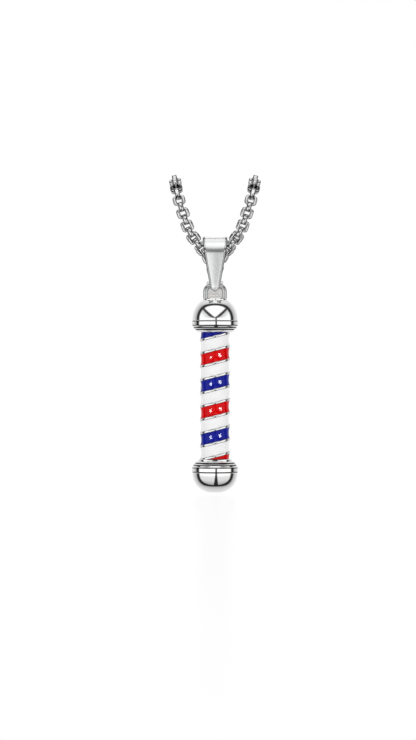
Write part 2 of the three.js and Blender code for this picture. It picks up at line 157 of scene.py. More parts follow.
def evenly(line, count):
    """count points at equal distances along a polyline, and its length."""
    marks = [0.0]
    for a, b in zip(line, line[1:]):
        marks.append(marks[-1] + (b - a).length)
    total, spaced, i = marks[-1], [], 0
    for n in range(count):
        want = total * n / (count - 1)
        while i < len(line) - 2 and marks[i + 1] < want:
            i += 1
        span = max(marks[i + 1] - marks[i], 1e-12)
        spaced.append(line[i].lerp(line[i + 1], min(1.0, (want - marks[i]) / span)))
    return spaced, total


def carried_frames(points, first_normal):
    """(tangent, normal, side) at each point, the normal carried along without twisting."""
    frames, normal = [], first_normal
    for i, p in enumerate(points):
        tangent = (points[min(i + 1, len(points) - 1)] - points[max(i - 1, 0)]).normalized()
        if frames:
            normal = frames[-1][0].rotation_difference(tangent) @ normal
        normal = (normal - tangent * normal.dot(tangent)).normalized()
        frames.append((tangent, normal, tangent.cross(normal)))
    return frames


def wire(points, radius, sides, first_normal, closed=False):
    """A round wire along points. An open one has flat ends."""
    verts, faces = [], []
    frames = carried_frames(points, first_normal)
    for p, (_, normal, side) in zip(points, frames):
        for j in range(sides):
            turn = 2 * math.pi * j / sides
            verts.append(p + (normal * math.cos(turn) + side * math.sin(turn)) * radius)
    rings = len(points)
    for i in range(rings if closed else rings - 1):
        a, b = i * sides, (i + 1) % rings * sides
        faces += [(a + j, a + (j + 1) % sides, b + (j + 1) % sides, b + j) for j in range(sides)]
    if not closed:
        faces.append(tuple(reversed(range(sides))))
        faces.append(tuple((rings - 1) * sides + j for j in range(sides)))
    return verts, faces


# ---- Materials -------------------------------------------------------------------------------
def new_material(name, color, metallic, roughness):
    """A material with its node tree and its Principled shader."""
    material = bpy.data.materials.new(name)
    material.use_nodes = True
    shader = material.node_tree.nodes["Principled BSDF"]
    shader.inputs["Base Color"].default_value = (*color, 1)
    shader.inputs["Metallic"].default_value = metallic
    shader.inputs["Roughness"].default_value = roughness
    return material, material.node_tree, shader


def noise(tree, scale, detail=3.0, stretch=(1, 1, 1)):
    """Noise in the part's own coordinates; scale is in features per metre, before stretching."""
    nodes, links = tree.nodes, tree.links
    coords = nodes.new("ShaderNodeTexCoord")
    mapping = nodes.new("ShaderNodeMapping")
    mapping.inputs["Scale"].default_value = stretch
    texture = nodes.new("ShaderNodeTexNoise")
    texture.inputs["Scale"].default_value = scale
    texture.inputs["Detail"].default_value = detail
    links.new(coords.outputs["Object"], mapping.inputs["Vector"])
    links.new(mapping.outputs["Vector"], texture.inputs["Vector"])
    return texture.outputs["Fac"]


def spread(tree, value, low, high, start=0.3, end=0.7):
    """Maps a 0-to-1 value onto a range."""
    node = tree.nodes.new("ShaderNodeMapRange")
    node.inputs["From Min"].default_value = start
    node.inputs["From Max"].default_value = end
    node.inputs["To Min"].default_value = low
    node.inputs["To Max"].default_value = high
    tree.links.new(value, node.inputs["Value"])
    return node.outputs["Result"]


def bump(tree, shader, height, distance):
    """Fine relief on a shader: a 0-to-1 height, and the metres that 1 stands for."""
    node = tree.nodes.new("ShaderNodeBump")
    node.inputs["Strength"].default_value = 1.0
    node.inputs["Distance"].default_value = distance
    tree.links.new(height, node.inputs["Height"])
    tree.links.new(node.outputs["Normal"], shader.inputs["Normal"])


def blend_colors(tree, value, low, high):
    """Mixes two colours, by a 0-to-1 value."""
    node = tree.nodes.new("ShaderNodeMix")
    node.data_type = "RGBA"
    node.inputs[6].default_value = (*low, 1)
    node.inputs[7].default_value = (*high, 1)
    tree.links.new(value, node.inputs[0])
    return node.outputs[2]


def multiply_colors(tree, first, second):
    node = tree.nodes.new("ShaderNodeMix")
    node.data_type = "RGBA"
    node.blend_type = "MULTIPLY"
    node.inputs[0].default_value = 1
    tree.links.new(first, node.inputs[6])
    tree.links.new(second, node.inputs[7])
    return node.outputs[2]


def grey_by_height(tree, low, high, stops):
    """Greys that change with the part's own height, from low to high; stops are (share, grey)."""
    coords = tree.nodes.new("ShaderNodeTexCoord")
    parts = tree.nodes.new("ShaderNodeSeparateXYZ")
    tree.links.new(coords.outputs["Object"], parts.inputs[0])
    height = spread(tree, parts.outputs["Z"], 0, 1, place(0, 0, low).z, place(0, 0, high).z)
    ramp = tree.nodes.new("ShaderNodeValToRGB")
    while len(ramp.color_ramp.elements) < len(stops):
        ramp.color_ramp.elements.new(0.5)
    for element, (position, grey) in zip(ramp.color_ramp.elements, stops):
        element.position = position
        element.color = (grey, grey, grey, 1)
    tree.links.new(height, ramp.inputs[0])
    return ramp.outputs[0]


def polished(name, color, low, high):
    """Buffed stainless steel: faint haze patches, hairline marks and a slight warm-cool drift."""
    material, tree, shader = new_material(name, color, 1.0, low)
    haze = noise(tree, 900, 4)
    tree.links.new(spread(tree, haze, low, high), shader.inputs["Roughness"])
    drift = spread(tree, noise(tree, 250, 2), 0, 1)
    warm = tuple(c * k for c, k in zip(color, (1.0, 0.985, 0.97)))
    tree.links.new(blend_colors(tree, drift, color, warm), shader.inputs["Base Color"])
    bump(tree, shader, noise(tree, 5000, 3, (1, 1, 0.15)), 0.0000006)
    return material


# Painted shade along the bail's bend: shares of the way from 1 mm below the bend to 3 mm above it, and how
# bright the steel is painted there.
BEND_SHADE_GREYS = [(0, 1.0), (0.12, 0.93), (0.22, 0.25), (0.3, 0.25), (0.42, 0.62), (0.75, 1.0)]


def satin(name, color):
    """Steel brushed lengthwise: streaks a few hundredths of a millimetre wide, running up and down,
    with painted shade: a dark band along the bail's bend, painted as greys by height."""
    material, tree, shader = new_material(name, color, 1.0, 0.3)
    streaks = noise(tree, 9000, 5, (1, 1, 0.03))
    tree.links.new(spread(tree, streaks, 0.34, 0.4), shader.inputs["Roughness"])
    dull = tuple(c * 0.96 for c in color)
    brushed = blend_colors(tree, spread(tree, streaks, 0, 1), dull, color)
    # Painted shade: greys by height, darkest just above the bend, multiplied into the steel's colour.
    bend = grey_by_height(tree, BEND_Z - 1, BEND_Z + 3, BEND_SHADE_GREYS)
    tree.links.new(multiply_colors(tree, brushed, bend), shader.inputs["Base Color"])
    bump(tree, shader, streaks, 0.0000005)
    return material


def enamel(name, color, deep):
    """Cold enamel: a glossy skin that settled unevenly, with the colour a little deeper where it is thick."""
    material, tree, shader = new_material(name, color, 0.0, 0.1)
    shader.inputs["Specular IOR Level"].default_value = 0.13
    pool = spread(tree, noise(tree, 420, 3), 0, 1)
    tree.links.new(blend_colors(tree, pool, deep, color), shader.inputs["Base Color"])
    tree.links.new(spread(tree, noise(tree, 1500, 2), 0.08, 0.13), shader.inputs["Roughness"])
    bump(tree, shader, noise(tree, 700, 2), 0.00001)
    return material


def cotton(name, color):
    """Matt white thread: twisted fibres a few hundredths of a millimetre across."""
    material, tree, shader = new_material(name, color, 0.0, 0.85)
    fibres = noise(tree, 12000, 4, (1, 1, 0.5))
    dark = tuple(c * 0.82 for c in color)
    tree.links.new(blend_colors(tree, spread(tree, fibres, 0, 1), dark, color), shader.inputs["Base Color"])
    shader.inputs["Sheen Weight"].default_value = 0.3
    bump(tree, shader, fibres, 0.00003)
    return material


STEEL = polished("polished_steel", (0.7, 0.705, 0.71), 0.05, 0.11)
CHAIN_STEEL = polished("chain_steel", (0.6, 0.605, 0.61), 0.1, 0.18)
# Painted shade: a darker copy of the polished steel for the loop wire and the bail's chamfers, standing in
# for their grey outlines.
LOOP_STEEL = polished("loop_steel", (0.4, 0.405, 0.41), 0.14, 0.24)
# Painted shade: a near-black steel on the chain links' corners and inner faces, standing in for the dark
# outlines and gaps between links.
CHAIN_PAINTED_SHADE = polished("chain_painted_shade", (0.09, 0.09, 0.092), 0.3, 0.4)
# Painted shade: a near-black steel in the rib bevels, the core's channels and the caps' grooves, where shade
# falls.
GROOVE_PAINTED_SHADE = polished("groove_painted_shade", (0.05, 0.05, 0.053), 0.35, 0.5)
CLASP_STEEL = polished("clasp_steel", (0.6, 0.605, 0.61), 0.08, 0.16)
SATIN = satin("satin_steel", (0.95, 0.955, 0.96))
THREAD = cotton("tie_thread", (0.93, 0.92, 0.9))
ENAMELS = {
    "red": enamel("enamel_red", (0.74, 0.0, 0.001), (0.6, 0.0, 0.001)),
    "white": enamel("enamel_white", (0.94, 0.94, 0.94), (0.91, 0.91, 0.92)),
    "blue": enamel("enamel_blue", (0.006, 0.012, 0.3), (0.004, 0.008, 0.24)),
}


# ---- Camera ----------------------------------------------------------------------------------
LENS, SENSOR = 150.0, 36.0
VIEW_HEIGHT = 177.6
VIEW_CENTRE = place(-1.68, PENDANT_Y, 29.3)


def make_camera():
    """A long lens straight in front, so far away that the tall side of the view is VIEW_HEIGHT."""
    data = bpy.data.cameras.new("camera")
    data.lens, data.sensor_width = LENS, SENSOR
    data.clip_start, data.clip_end = 0.01, 20
    camera = bpy.data.objects.new("camera", data)
    bpy.context.scene.collection.objects.link(camera)
    distance = VIEW_HEIGHT * MM / 2 / (SENSOR / 2 / LENS)
    camera.location = VIEW_CENTRE - Vector((0, distance, 0))
    camera.rotation_euler = (math.pi / 2, 0, 0)
    bpy.context.scene.camera = camera


make_camera()

# ---- Chain -----------------------------------------------------------------------------------
# The route of the right-hand strand; the left one mirrors x. x, then height, in front.
FRONT_ROUTE = [
    (0, 57), (1.57, 57.27), (2.9, 58.05), (3.85, 59.25), (4.75, 60.55), (5.6, 61.85),
    (6.35, 63.1), (7.25, 65.8),
]
# x, then degrees round the edge.
EDGE_ROUTE = [(8.33, 0), (9.0, 25), (9.45, 55), (9.6, 90), (9.45, 125), (9.0, 155), (8.33, 180)]
# x, height, and the share of the way that the right strand has moved back.
BACK_ROUTE = [
    (7.3, 66, 0), (6.3, 63.2, 0.1), (5.4, 61.7, 0.2), (4.4, 60.4, 0.35), (3.3, 59.1, 0.5),
    (2.2, 57.7, 0.65), (1.3, 56, 0.8), (0.65, 54.2, 0.9), (0.2, 52.4, 0.97), (0, 50.6, 1),
    (0, 48.5, 1),
]
# x, y and height, from the neck tie into the hank.
INTO_HANK = {
    -1: [(0.05, 5.95, 46.5), (0.35, 5.6, 44.5), (0.85, 4.85, 42), (1.3, 3.9, 39.5), (1.53, 3.25, 36.8)],
    1: [(0.1, 9.0, 46.5), (0.4, 8.3, 44.4), (0.85, 7.1, 42.2), (1.25, 5.6, 40), (1.5, 4.1, 37.3)],
}
INTO_HANK_END, NECK_SHIFT = 34.5, 3.2
# The hank's bends in order: which end, y where the run meets the bend, and y where it leaves.
HANK_BENDS = [
    ("low", HANK_Y - 12, HANK_Y + 12), ("high", HANK_Y + 12, HANK_Y - 9),
    ("low", HANK_Y - 9, HANK_Y + 9), ("high", HANK_Y + 9, HANK_Y - 3),
]


def hank_points():
    """The two turns of one strand in the hank, as (y, height)."""
    points = []
    for end, start, stop in HANK_BENDS:
        centre, radius = (start + stop) / 2, abs(stop - start) / 2
        height = HANK_LOW if end == "low" else HANK_HIGH
        way = -1 if end == "low" else 1
        side = -1 if start < stop else 1
        for n in range(BEND_STEPS + 1):
            turn = math.pi * n / BEND_STEPS
            y = centre + side * radius * math.cos(turn)
            points.append((y, height + way * radius * math.sin(turn)))
    return points


def strand_line(side):
    """One strand's route, from the bail's tunnel over the edge and down behind into the hank."""
    points = [place(x, PENDANT_Y, h) for x, h in FRONT_ROUTE]
    drop = CHAIN / 2 - EDGE_BEND - BASE_Z
    for x, degrees in EDGE_ROUTE:
        turn = math.radians(degrees)
        points.append(place(x, -EDGE_BEND * math.cos(turn), drop + EDGE_BEND * math.sin(turn)))
    for x, h, share in BACK_ROUTE:
        points.append(place(x, BACK_Y + (share * NECK_SHIFT if side > 0 else 0), h))
    points += [place(*p) for p in INTO_HANK[side]]
    points.append(place(HANK_COLUMN, HANK_BENDS[0][1], INTO_HANK_END))
    points += [place(HANK_COLUMN, y, h) for y, h in hank_points()]
    points.append(place(HANK_COLUMN, HANK_BENDS[-1][2], STRAND_END[side]))
    for p in points:
        p.x *= side
    return smooth_line(points)


def link_outline():
    """The middle of a link's band, once round: (along, across, direction out) at each step."""
    along = (LINK_LENGTH - LINK_END_WALL) / 2 - LINK_CORNER
    aside = (CHAIN - LINK_SIDE_WALL) / 2 - LINK_CORNER
    around = []
    corners = [(along, aside, 0), (-along, aside, 90), (-along, -aside, 180), (along, -aside, 270)]
    for u, v, start in corners:
        for n in range(CORNER_STEPS + 1):
            turn = math.radians(start + 90 * n / CORNER_STEPS)
            out = (math.cos(turn), math.sin(turn))
            around.append((u + LINK_CORNER * out[0], v + LINK_CORNER * out[1], out))
    return around


def bulge(value):
    """A sine or cosine pushed outwards, which turns a circle into a rounded square."""
    return math.copysign(abs(value) ** SECTION_ROUNDNESS, value)


def link_section():
    """The band cut across: (share of the wall outwards, depth) at each side."""
    turns = [2 * math.pi * n / SECTION_SIDES for n in range(SECTION_SIDES)]
    return [(bulge(math.cos(t)) / 2, bulge(math.sin(t)) * LINK_BAND / 2) for t in turns]


# The sides of link_section that keep the polished chain steel: the outer face and the middles of the two flat
# ones. The rest, the rounded corners and the inner face, get painted shade.
UNSHADED_SIDES = (15, 0, 3, 4, 11, 12)


def link_template():
    """One link: a rounded square of band. Each vertex is (along, across, depth) in metres."""
    around, section, sides = link_outline(), link_section(), SECTION_SIDES
    verts, faces, looks = [], [], []
    for u, v, out in around:
        wall = LINK_END_WALL + (LINK_SIDE_WALL - LINK_END_WALL) * out[1] ** 2
        verts += [((u + out[0] * r * wall) * MM, (v + out[1] * r * wall) * MM, w * MM) for r, w in section]
    for i in range(len(around)):
        a, b = i * sides, (i + 1) % len(around) * sides
        faces += [(a + j, a + (j + 1) % sides, b + (j + 1) % sides, b + j) for j in range(sides)]
        # 1 marks the faces that get painted shade: the link's rounded corners and its inner face.
        looks += [0 if j in UNSHADED_SIDES else 1 for j in range(sides)]
    return verts, faces, looks


def link_centres(line):
    """The links' centres and the strand's length. One centre sits LINK_LEAD before the middle of the bend
    over the edge, so that in the main view the strand behind hides in step with the one in front."""
    fine, total = evenly(line, FINE_POINTS)
    step = total / (FINE_POINTS - 1)
    top = max(range(FINE_POINTS), key=lambda i: fine[i].z)
    split = top - round(LINK_LEAD * MM / step)
    before = round(split * step / (LINK_PITCH * MM))
    after = round((total - split * step) / (LINK_PITCH * MM))
    after += 1 - (before + after) % 2
    return evenly(fine[: split + 1], before + 1)[0] + evenly(fine[split:], after + 1)[0][1:], total


def make_chain(name, side, nodes):
    """One side of the chain, link by link; the middle link, under the bail, is in the right one."""
    centres, total = link_centres(strand_line(side))
    frames = carried_frames(centres, Vector((0, 0, 1)))
    template, template_faces, template_looks = link_template()
    verts, faces, looks = [], [], []
    first = 0 if side > 0 else 1
    for k in range(first, len(centres)):
        run, up, out = frames[k]
        across, depth = (up, out) if k % 2 == 0 else (out, up)
        start = len(verts)
        verts += [centres[k] + run * a + across * b + depth * c for a, b, c in template]
        faces += [tuple(start + i for i in face) for face in template_faces]
        looks += template_looks
    chain = make_object(name, verts, faces, CHAIN_STEEL, 60, (CHAIN_PAINTED_SHADE, looks))
    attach(chain, "chain")
    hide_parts(*nodes)
    return chain, centres, total


def make_ring(name, x, height):
    """A small round ring in the X-Z plane."""
    y, steps, points = HANK_BENDS[-1][2], 40, []
    for n in range(steps):
        turn = 2 * math.pi * n / steps
        points.append(place(x + RING_RADIUS * math.cos(turn), y, height + RING_RADIUS * math.sin(turn)))
    verts, faces = wire(points, RING_WIRE_RADIUS * MM, 14, Vector((1, 0, 0)), closed=True)
    ring = make_object(name, verts, faces, CLASP_STEEL, 60)
    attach(ring, "chain")
    return ring


def middle_height(node):
    low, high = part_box(node)
    return (low.z + high.z) / 2 / MM - BASE_Z


LINK_NODES = [f"chain_link_{n:02d}" for n in range(1, 26)]
chain_left, left_path, left_length = make_chain(
    "necklace_chain_left", -1,
    [*LINK_NODES[:12], "chain_strand_left", "chain_hank_left", "chain_end_left"],
)
chain_right, right_path, right_length = make_chain(
    "necklace_chain_right", 1,
    [*LINK_NODES[12:], "chain_strand_right", "chain_hank_right", "chain_end_right"],
)
clasp_ring = make_ring("clasp_jump_ring", -HANK_COLUMN, middle_height("clasp_ring"))
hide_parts("clasp_ring")
end_ring = make_ring("chain_end_ring", HANK_COLUMN, middle_height("end_ring"))
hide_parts("end_ring")


def wound_tie(name, node, thread, corner, margin):
    """Thread wound round a rounded rectangle, from the bottom of the CAD node's box to its top."""
    low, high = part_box(node)
    x = (high.x - low.x) / 2 / MM - margin
    y_low, y_high = low.y / MM + margin, high.y / MM - margin
    bottom, top = low.z / MM - BASE_Z + thread / 2, high.z / MM - BASE_Z - thread / 2
    turns = max(2, round((top - bottom) / (thread * 0.96)))
    loop = []
    corners = [
        (x - corner, y_high - corner, 0), (-x + corner, y_high - corner, 90),
        (-x + corner, y_low + corner, 180), (x - corner, y_low + corner, 270),
    ]
    for cx, cy, start in corners:
        for n in range(5):
            turn = math.radians(start + 22.5 * n)
            loop.append((cx + corner * math.cos(turn), cy + corner * math.sin(turn)))
    points, per_turn = [], len(loop)
    for n in range(turns * per_turn):
        u, v = loop[n % per_turn]
        points.append(place(u, v, bottom + (top - bottom) * n / (turns * per_turn)))
    line = smooth_line(points, 3)
    verts, faces = wire(line, thread / 2 * MM, 8, Vector((1, 0, 0)))
    tie = make_object(name, verts, faces, THREAD, 60)
    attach(tie, "chain")
    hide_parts(node)
    return tie


neck_thread = wound_tie("neck_thread", "neck_tie", 0.42, 0.9, 0.1)
hank_thread = wound_tie("hank_thread", "hank_tie", 0.45, 1.0, 0.1)


# ---- Pole ------------------------------------------------------------------------------------
def clip(obj, low, high):
    """Cuts a mesh off flat below one height and above another, and closes the cuts."""
    cut = bmesh.new()
    cut.from_mesh(obj.data)
    for height, way in ((low, -1), (high, 1)):
        everything = cut.verts[:] + cut.edges[:] + cut.faces[:]
        result = bmesh.ops.bisect_plane(
            cut, geom=everything, dist=1e-8, plane_co=place(0, 0, height),
            plane_no=(0, 0, way), clear_outer=True,
        )
        edges = [g for g in result["geom_cut"] if isinstance(g, bmesh.types.BMEdge)]
        if edges:
            bmesh.ops.triangle_fill(cut, use_beauty=True, edges=edges)
    bmesh.ops.recalc_face_normals(cut, faces=cut.faces)
    cut.to_mesh(obj.data)
    cut.free()
    obj.data.set_sharp_from_angle(angle=math.radians(50))


def rib_height(k):
    return RIB_TOP - RIB_PITCH * k


def rib_profile(k):
    """One rib from its lower foot to its upper one: straight flanks and a flat crest."""
    z = rib_height(k)
    half = [(RIB_RADIUS - 0.12, RIB_HALF), (RIB_RADIUS - 0.04, RIB_HALF - 0.03), (RIB_RADIUS, RIB_HALF - 0.1)]
    crest = [(r, z - away) for r, away in half] + [(r, z + away) for r, away in reversed(half)]
    return [(CHANNEL_RADIUS, z - RIB_HALF), *crest, (CHANNEL_RADIUS, z + RIB_HALF)]


def make_core():
    """The ribbed steel core. Faces inside RIB_RADIUS, its channels and the bevels of its ribs, get painted
    shade: a near-black steel.
    """
    profile = [(CHANNEL_RADIUS, rib_height(RIB_COUNT))]
    for k in reversed(range(RIB_COUNT)):
        profile += rib_profile(k)
    profile.append((CHANNEL_RADIUS, rib_height(-1)))
    verts, faces = lathe(profile, slope=RIB_SLOPE)
    looks = []
    for face in faces:
        middle = sum((verts[i] for i in face), Vector()) / 4
        looks.append(int(Vector((middle.x, middle.y - PENDANT_Y * MM)).length < (RIB_RADIUS - 0.03) * MM))
    core = make_object("ribbed_core", verts, faces, STEEL, 50, (GROOVE_PAINTED_SHADE, looks))
    clip(core, POLE_LOW + FIT, POLE_HIGH - FIT)
    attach(core, "pendant")
    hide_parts("pole_core")


def make_enamel(k):
    """One enamel fill: concave, and climbing a little up the ribs on both sides."""
    colour = BANDS[k]
    low = rib_height(k) + RIB_HALF + FIT / 2 if k < RIB_COUNT else POLE_LOW - 3
    high = rib_height(k - 1) - RIB_HALF - FIT / 2 if k else POLE_HIGH + 3
    inside, reach, steps = CHANNEL_RADIUS + FIT, (high - low) / 2, 8
    rise = ENAMEL_EDGE - ENAMEL_WAIST
    lower = [
        (ENAMEL_WAIST + rise * (1 - n / steps) ** 2, low + reach * n / steps) for n in range(steps)
    ]
    upper = [(r, high + low - z) for r, z in reversed(lower)]
    verts, faces = lathe([(inside, low), *lower, *upper, (inside, high)], slope=RIB_SLOPE, closed=True)
    band = make_object(f"enamel_{k + 1:02d}", verts, faces, ENAMELS[colour], 50)
    if k in (0, 1, RIB_COUNT - 1, RIB_COUNT):
        clip(band, POLE_LOW + FIT, POLE_HIGH - FIT)
    if colour != "white":
        coloured_bands.objects.link(band)
    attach(band, "pendant")
    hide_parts(f"enamel_band_{k + 1:02d}_{colour}")


coloured_bands = bpy.data.collections.new("coloured_bands")
make_core()
for band_number in range(len(BANDS)):
    make_enamel(band_number)


# ---- Caps and loop ---------------------------------------------------------------------------
def groove(radius, z, depth=0.2, half=0.1):
    """A small V groove round a cap, from above it to below it."""
    return [(radius, z + half), (radius - depth, z), (radius, z - half)]


def flat_line(points, steps=5):
    """A smooth line through [radius, height] points."""
    line = smooth_line([Vector((r, z, 0)) for r, z in points], steps)
    return [(max(p.x, 0.0), p.y) for p in line]


def make_cap(name, node, outline, grooves):
    """A turned cap. The faces at the heights in grooves, the insides of its grooves, get painted shade: a
    near-black steel.
    """
    verts, faces = lathe(outline)
    looks = []
    for face in faces:
        middle = sum((verts[i] for i in face), Vector()) / 4
        outside = Vector((middle.x, middle.y - PENDANT_Y * MM)).length > 4 * MM
        height = middle.z / MM - BASE_Z
        looks.append(int(outside and any(abs(height - g) < 0.1 for g in grooves)))
    cap = make_object(name, verts, faces, STEEL, 28, (GROOVE_PAINTED_SHADE, looks))
    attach(cap, "pendant")
    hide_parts(node)
    return cap


def top_cap_outline():
    dome = flat_line([
        (5.42, 41.25), (5.4, 42.0), (5.2, 43.0), (4.8, 44.0), (4.2, 44.95), (3.5, 45.65), (2.95, 46.05),
    ])
    skirt = [(4.1, 38.4), (4.55, 38.78), *reversed(groove(4.72, 38.95)), (5.0, 39.12)]
    skirt += [(5.08, 39.2), *reversed(groove(5.2, 39.42)), (5.3, 39.56), (5.35, 39.7)]
    return [
        (0.0001, PAD_TOP), (2.75, PAD_TOP), (2.88, PAD_TOP - 0.06), (2.95, PAD_TOP - 0.18),
        *reversed(dome), (5.42, 41.2), (5.5, 41.14), *groove(5.52, 41.0), *groove(5.52, 40.0),
        (5.5, 39.86), (5.42, 39.8), *reversed(skirt), (2.85, 38.4), (2.85, 41.45), (0.0001, 41.45),
    ]


def bottom_cap_outline():
    bowl = flat_line([
        (5.42, 4.62), (5.38, 4.0), (5.22, 3.2), (4.88, 2.35), (4.35, 1.55), (3.7, 0.95), (2.9, 0.42),
        (2.1, 0.08),
    ])
    shoulder = [(5.36, 6.2), (5.32, 6.38), *reversed(groove(5.24, 6.5)), (5.08, 6.74)]
    shoulder += [(5.0, 6.86), *reversed(groove(4.82, 7.02)), (4.6, 7.2), (4.45, 7.35)]
    return [
        (0.0001, 4.85), (2.85, 4.85), (2.85, 7.9), (3.95, 7.9), (4.02, 7.82), (4.05, 7.45),
        *reversed(shoulder), (5.42, 6.1), (5.5, 6.02), *groove(5.52, 5.85), *groove(5.52, 4.85), (5.5, 4.7),
        *bowl, (1.9, 0.0), (0.0001, 0.0),
    ]


make_cap("cap_top", "top_cap", top_cap_outline(), (41.0, 40.0, 39.42, 38.95))
make_cap("cap_bottom", "bottom_cap", bottom_cap_outline(), (5.85, 4.85, 6.5, 7.02))


def make_loop():
    """The round wire arch that stands on the top cap's pad."""
    leg_top, flat = LOOP_CROWN - LOOP_CORNER, LOOP_HALF - LOOP_CORNER
    half = [(-LOOP_HALF, PAD_TOP + 0.02 + 0.4 * n) for n in range(4)]
    for n in range(9):
        turn = math.pi - math.pi / 2 * n / 8
        half.append((-flat + LOOP_CORNER * math.cos(turn), leg_top + LOOP_CORNER * math.sin(turn)))
    both = half + [(-x, z) for x, z in reversed(half)]
    points = smooth_line([place(x, PENDANT_Y, z) for x, z in both], 4)
    verts, faces = wire(points, LOOP_RADIUS * MM, 24, Vector((0, 1, 0)))
    loop = make_object("loop_wire", verts, faces, LOOP_STEEL, 60)
    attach(loop, "pendant")
    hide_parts("hanging_loop")


make_loop()


# ---- Bail ------------------------------------------------------------------------------------
def bail_half_width(height):
    if height <= BAIL_WIDTHS[0][0]:
        return BAIL_WIDTHS[0][1]
    for (z0, w0), (z1, w1) in zip(BAIL_WIDTHS, BAIL_WIDTHS[1:]):
        if height <= z1:
            return w0 + (w1 - w0) * (height - z0) / (z1 - z0)
    return BAIL_WIDTHS[-1][1]


def round_roof(radius):
    turns = [math.pi / 2 + math.pi / 2 * n / ROOF_STEPS for n in range(ROOF_STEPS + 1)]
    return [(radius * math.cos(t), TUNNEL_Z + radius * math.sin(t)) for t in turns]


def pressed_roof():
    """The strip's outside over the chain: two nearly flat runs with a tight bend between them."""
    points = [
        (0, 61.3), (-1.4, 61.27), (-1.98, 60.98), (-2.5, 60.25), (-3.05, 59.4), (-3.38, 58.6),
        (-3.5, TUNNEL_Z),
    ]
    line = smooth_line([Vector((y, z, 0)) for y, z in points])
    return [(p.x, p.y) for p in evenly(line, ROOF_STEPS + 1)[0]]


def bail_loop(quarter, eye):
    """The teardrop seen from the side, as (y, height), from the roof's top round and back to it."""
    points, roof = list(quarter), -quarter[-1][0]
    for n in range(1, ROOF_STEPS + 1):
        share = n / (ROOF_STEPS + 1)
        points.append((-roof + (roof - eye) * share, TUNNEL_Z + (LOOP_CROWN - TUNNEL_Z) * share))
    for n in range(EYE_STEPS + 1):
        turn = math.pi + math.pi / 2 * n / EYE_STEPS
        points.append((eye * math.cos(turn), LOOP_CROWN + eye * math.sin(turn)))
    return points + [(-y, z) for y, z in reversed(points[1:-1])]


def strip_section(outside, inside):
    """The strip cut across, as (x, share of the thickness), from inner left to inner right."""
    edge, chamfer = min(BAIL_EDGE, outside * 0.2), min(BAIL_CHAMFER, outside * 0.36)
    right = [
        (outside - chamfer - SATIN_LAP, 0), (outside - chamfer, 0.02), (outside - edge, 0.12),
        (outside, 0.5), (inside, 1),
    ]
    return [(-x, depth) for x, depth in reversed(right)] + right


# The sides of strip_section that are satin: the outer face and the inner one.
SATIN_SIDES = (4, 9)


def make_bail():
    """A strip with a polished chamfer along both outer edges and satin faces between them."""
    outer = bail_loop(pressed_roof(), EYE_RADIUS + EYE_WALL)
    inner = bail_loop(round_roof(TUNNEL_RADIUS), EYE_RADIUS)
    verts, faces, looks = [], [], []
    for (yo, zo), (yi, zi) in zip(outer, inner):
        section = strip_section(bail_half_width(zo), bail_half_width(zi))
        for x, depth in section:
            verts.append(place(x, PENDANT_Y + yo + (yi - yo) * depth, zo + (zi - zo) * depth))
    size, rings = len(verts) // len(outer), len(outer)
    for i in range(rings):
        a, b = i * size, (i + 1) % rings * size
        for j in range(size):
            k = (j + 1) % size
            faces.append((a + j, a + k, b + k, b + j))
            looks.append(0 if j in SATIN_SIDES else 1)
    # The chamfers take the loop's darker steel, which carries painted shade.
    bail = make_object("folded_bail", verts, faces, SATIN, 24, (LOOP_STEEL, looks))
    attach(bail, "bail")
    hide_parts("bail")


make_bail()

# ---- Clasp: CAD shapes with their own finish --------------------------------------------------
for clasp_node in ("clasp_body", "clasp_lever", "clasp_pin"):
    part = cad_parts[clasp_node]
    part.data.materials.clear()
    part.data.materials.append(CLASP_STEEL)


# ---- Floor and light -------------------------------------------------------------------------
FLOOR_REACH, FLOOR_GAP = 1.5, 0.6
FLOOR_GLOW, FLOOR_SHINE, FLOOR_ROUGHNESS = 1.04, 0.12, 0.22


def make_floor():
    """A glowing white floor with a faint soft reflection, just below the pendant."""
    material, tree, shader = new_material("floor", (0.95, 0.95, 0.95), 0.0, 0.5)
    nodes, links = tree.nodes, tree.links
    glow = nodes.new("ShaderNodeEmission")
    glow.inputs["Color"].default_value = (1, 1, 1, 1)
    glow.inputs["Strength"].default_value = FLOOR_GLOW
    shine = nodes.new("ShaderNodeBsdfGlossy")
    shine.inputs["Roughness"].default_value = FLOOR_ROUGHNESS
    mix = nodes.new("ShaderNodeMixShader")
    mix.inputs[0].default_value = FLOOR_SHINE
    links.new(glow.outputs[0], mix.inputs[1])
    links.new(shine.outputs[0], mix.inputs[2])
    links.new(mix.outputs[0], nodes["Material Output"].inputs["Surface"])
    nodes.remove(shader)
    height = place(0, 0, -FLOOR_GAP).z
    corners = [(x * FLOOR_REACH, y * FLOOR_REACH, height) for x, y in ((-1, -1), (1, -1), (1, 1), (-1, 1))]
    mesh = bpy.data.meshes.new("floor")
    mesh.from_pydata(corners, [], [(0, 1, 2, 3)])
    mesh.materials.append(material)
    floor = bpy.data.objects.new("floor", mesh)
    bpy.context.scene.collection.objects.link(floor)
    floor.visible_glossy = False


LAMP_HEIGHT, LAMP_DISTANCE = 26, 0.6


def make_lamp(name, azimuth, elevation, size, energy):
    """A soft square lamp that puts one highlight on each red or blue band and lights nothing else.
    Azimuth 0 is in front, positive to the right; size is in metres and energy in watts."""
    data = bpy.data.lights.new(name, "AREA")
    data.size, data.energy = size, energy
    lamp = bpy.data.objects.new(name, data)
    a, e = math.radians(azimuth), math.radians(elevation)
    way = Vector((math.sin(a) * math.cos(e), -math.cos(a) * math.cos(e), math.sin(e)))
    lamp.location = place(0, PENDANT_Y, LAMP_HEIGHT) + way * LAMP_DISTANCE
    lamp.rotation_euler = (-way).to_track_quat("-Z", "Y").to_euler()
    lamp.visible_diffuse = False
    lamp.light_linking.receiver_collection = coloured_bands
    bpy.context.scene.collection.objects.link(lamp)


